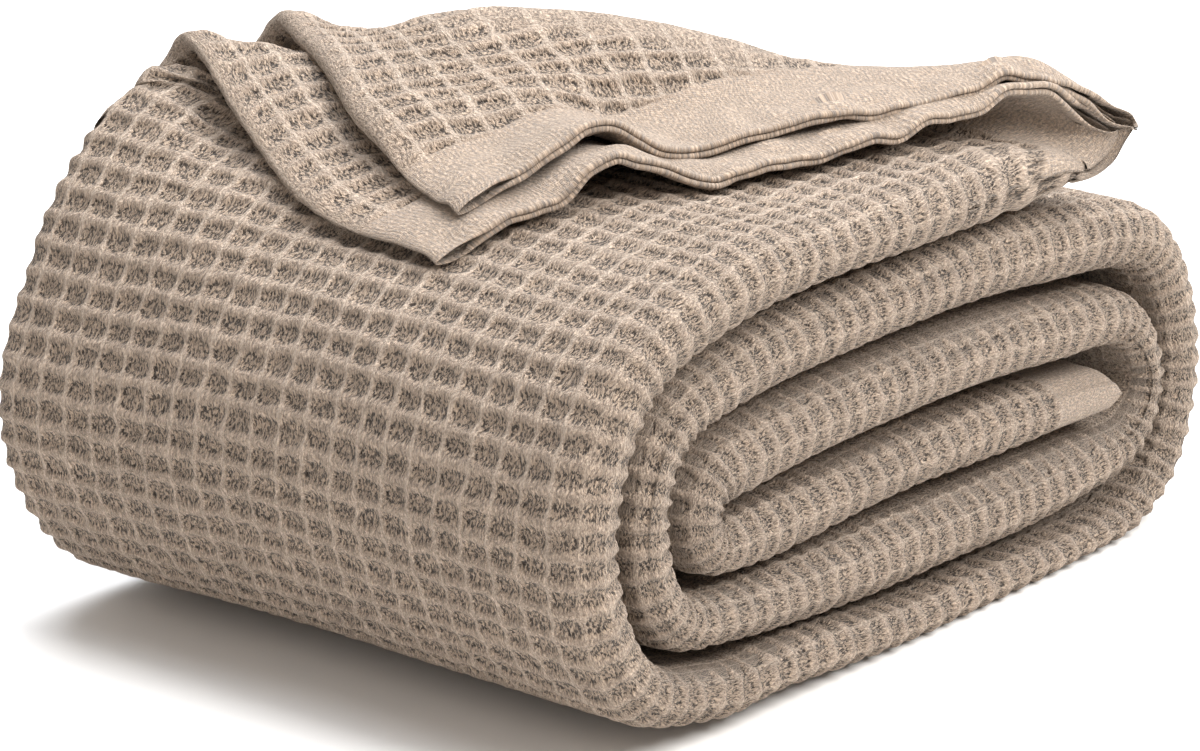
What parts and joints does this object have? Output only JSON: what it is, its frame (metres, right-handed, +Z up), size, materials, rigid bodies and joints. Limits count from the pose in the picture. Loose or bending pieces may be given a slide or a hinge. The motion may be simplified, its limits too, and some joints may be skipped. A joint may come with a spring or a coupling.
{
  "type": "waffle weave cotton blanket",
  "caption": "Waffle weave cotton blanket, folded lengthwise and wound flat into an oval pack, its outer back corner turned over on top with the plain hem forward.",
  "frame": {"origin": "centre of the pack's footprint, on the surface it rests on", "axes": "+X across the flat winding, towards its right-hand bend; +Y along the roll's axis, from the large front folds to the back folds; +Z up"},
  "size_m": [0.4174, 0.3042, 0.2279],
  "materials": {
    "waffle_cotton": "matte"
  },
  "bodies": {
    "root": {"blanket": "waffle_cotton"}
  },
  "joints": []
}
